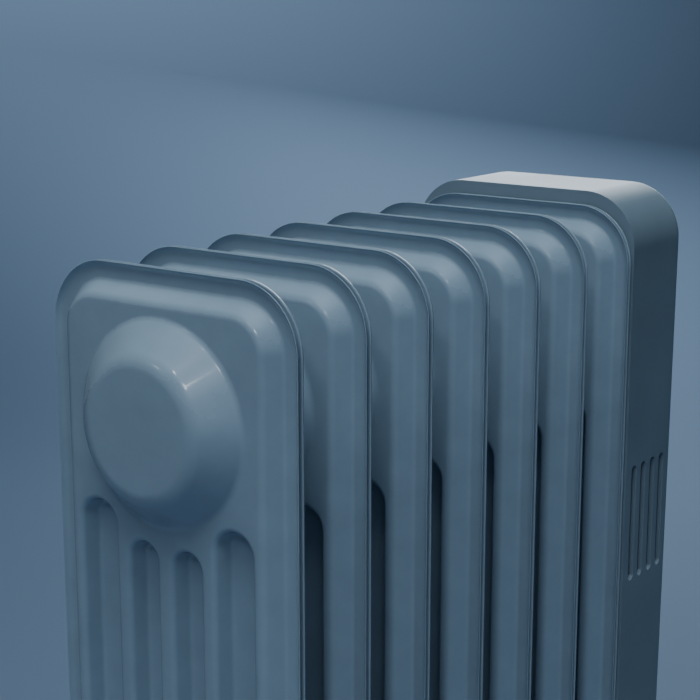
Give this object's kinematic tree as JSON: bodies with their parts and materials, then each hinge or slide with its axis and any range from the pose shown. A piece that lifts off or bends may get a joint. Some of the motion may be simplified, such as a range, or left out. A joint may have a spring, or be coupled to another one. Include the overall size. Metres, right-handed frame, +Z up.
{
  "type": "oil filled radiator heater",
  "caption": "Electric oil filled radiator with pressed steel fins, an end control housing and swivel caster feet.",
  "frame": {"origin": "on the floor, at the centre of the object's box", "axes": "+X across the fins, +Y along the stack towards the control housing's front, +Z up"},
  "size_m": [0.252, 0.3752, 0.6473],
  "materials": {
    "fin_enamel": "smooth gloss baked enamel, blue grey",
    "foot_enamel": "satin baked enamel, blue grey",
    "zinc_plated_steel": "zinc plated",
    "housing_moulding": "fine satin moulded plastic, blue grey",
    "control_moulding": "satin moulded plastic, dark grey",
    "phenolic": "moulded phenolic, dark",
    "lamp_lens": "translucent amber",
    "lead_insulation": "silicone insulation",
    "rubber": "matt black",
    "brass": "machined",
    "element_sheath": "annealed sheath",
    "caster_nylon": "moulded nylon, satin"
  },
  "bodies": {
    "radiator": {"fin_1_front_half": "fin_enamel", "fin_1_rear_half": "fin_enamel", "fin_2_front_half": "fin_enamel", "fin_2_rear_half": "fin_enamel", "fin_3_front_half": "fin_enamel", "fin_3_rear_half": "fin_enamel", "fin_4_front_half": "fin_enamel", "fin_4_rear_half": "fin_enamel", "fin_5_front_half": "fin_enamel", "fin_5_rear_half": "fin_enamel", "fin_6_front_half": "fin_enamel", "fin_6_rear_half": "fin_enamel", "fin_7_front_half": "fin_enamel", "fin_7_rear_half": "fin_enamel", "front_foot_bar": "foot_enamel", "rear_foot_bar": "foot_enamel", "front_clamp_rod": "zinc_plated_steel", "rear_clamp_rod": "zinc_plated_steel", "front_wing_nut_left": "zinc_plated_steel", "front_wing_nut_right": "zinc_plated_steel", "rear_wing_nut_left": "zinc_plated_steel", "rear_wing_nut_right": "zinc_plated_steel", "housing_shell": "housing_moulding", "housing_back_plate": "zinc_plated_steel", "control_panel": "control_moulding", "hand_grip_cup": "control_moulding", "housing_screw_left": "zinc_plated_steel", "housing_screw_right": "zinc_plated_steel", "thermostat_body": "phenolic", "power_switch_body": "phenolic", "heat_switch_body": "phenolic", "indicator_lamp": "lamp_lens", "thermal_cutout": "phenolic", "terminal_block": "phenolic", "tip_switch_body": "phenolic", "supply_lead": "lead_insulation", "return_lead": "lead_insulation", "cord_inlet_gland": "rubber", "element_gasket": "rubber", "element_flange": "brass", "heating_element_long": "element_sheath", "heating_element_short": "element_sheath", "oil_filler_plug": "zinc_plated_steel"},
    "knob": {"thermostat_knob": "control_moulding", "thermostat_shaft": "zinc_plated_steel"},
    "power_rocker": {"power_switch_rocker": "control_moulding"},
    "heat_rocker": {"heat_switch_rocker": "control_moulding"},
    "tip_pendulum": {"tip_switch_pendulum": "brass"},
    "caster_1_swivel": {"caster_1_fork": "caster_nylon", "caster_1_axle": "zinc_plated_steel"},
    "caster_1_roller": {"caster_1_wheel": "caster_nylon"},
    "caster_2_swivel": {"caster_2_fork": "caster_nylon", "caster_2_axle": "zinc_plated_steel"},
    "caster_2_roller": {"caster_2_wheel": "caster_nylon"},
    "caster_3_swivel": {"caster_3_fork": "caster_nylon", "caster_3_axle": "zinc_plated_steel"},
    "caster_3_roller": {"caster_3_wheel": "caster_nylon"},
    "caster_4_swivel": {"caster_4_fork": "caster_nylon", "caster_4_axle": "zinc_plated_steel"},
    "caster_4_roller": {"caster_4_wheel": "caster_nylon"}
  },
  "joints": [
    {"name": "thermostat_turn", "type": "hinge", "parent": "radiator", "child": "knob", "pos_m": [0, 0.17031, 0.53327], "axis": [0, -0.9999, 0.0141], "range_deg": [0, 270]},
    {"name": "power_rocker_tip", "type": "hinge", "parent": "radiator", "child": "power_rocker", "pos_m": [-0.018, 0.16818, 0.4673], "axis": [1, 0, 0], "range_deg": [-14, 0]},
    {"name": "heat_rocker_tip", "type": "hinge", "parent": "radiator", "child": "heat_rocker", "pos_m": [0.018, 0.16818, 0.4673], "axis": [1, 0, 0], "range_deg": [-14, 0]},
    {"name": "tip_pendulum_swing", "type": "hinge", "parent": "radiator", "child": "tip_pendulum", "pos_m": [0, 0.14188, 0.2352], "axis": [0, 1, 0], "range_deg": [-30, 30]},
    {"name": "caster_1_turn", "type": "hinge", "parent": "radiator", "child": "caster_1_swivel", "pos_m": [-0.103, -0.14057, 0.048], "axis": [0, 0, 1], "continuous": true},
    {"name": "caster_1_roll", "type": "hinge", "parent": "caster_1_swivel", "child": "caster_1_roller", "pos_m": [-0.103, -0.12757, 0.02], "axis": [1, 0, 0], "continuous": true},
    {"name": "caster_2_turn", "type": "hinge", "parent": "radiator", "child": "caster_2_swivel", "pos_m": [0.103, -0.14057, 0.048], "axis": [0, 0, 1], "continuous": true},
    {"name": "caster_2_roll", "type": "hinge", "parent": "caster_2_swivel", "child": "caster_2_roller", "pos_m": [0.103, -0.12757, 0.02], "axis": [1, 0, 0], "continuous": true},
    {"name": "caster_3_turn", "type": "hinge", "parent": "radiator", "child": "caster_3_swivel", "pos_m": [-0.103, 0.08693, 0.048], "axis": [0, 0, 1], "continuous": true},
    {"name": "caster_3_roll", "type": "hinge", "parent": "caster_3_swivel", "child": "caster_3_roller", "pos_m": [-0.103, 0.09993, 0.02], "axis": [1, 0, 0], "continuous": true},
    {"name": "caster_4_turn", "type": "hinge", "parent": "radiator", "child": "caster_4_swivel", "pos_m": [0.103, 0.08693, 0.048], "axis": [0, 0, 1], "continuous": true},
    {"name": "caster_4_roll", "type": "hinge", "parent": "caster_4_swivel", "child": "caster_4_roller", "pos_m": [0.103, 0.09993, 0.02], "axis": [1, 0, 0], "continuous": true}
  ]
}
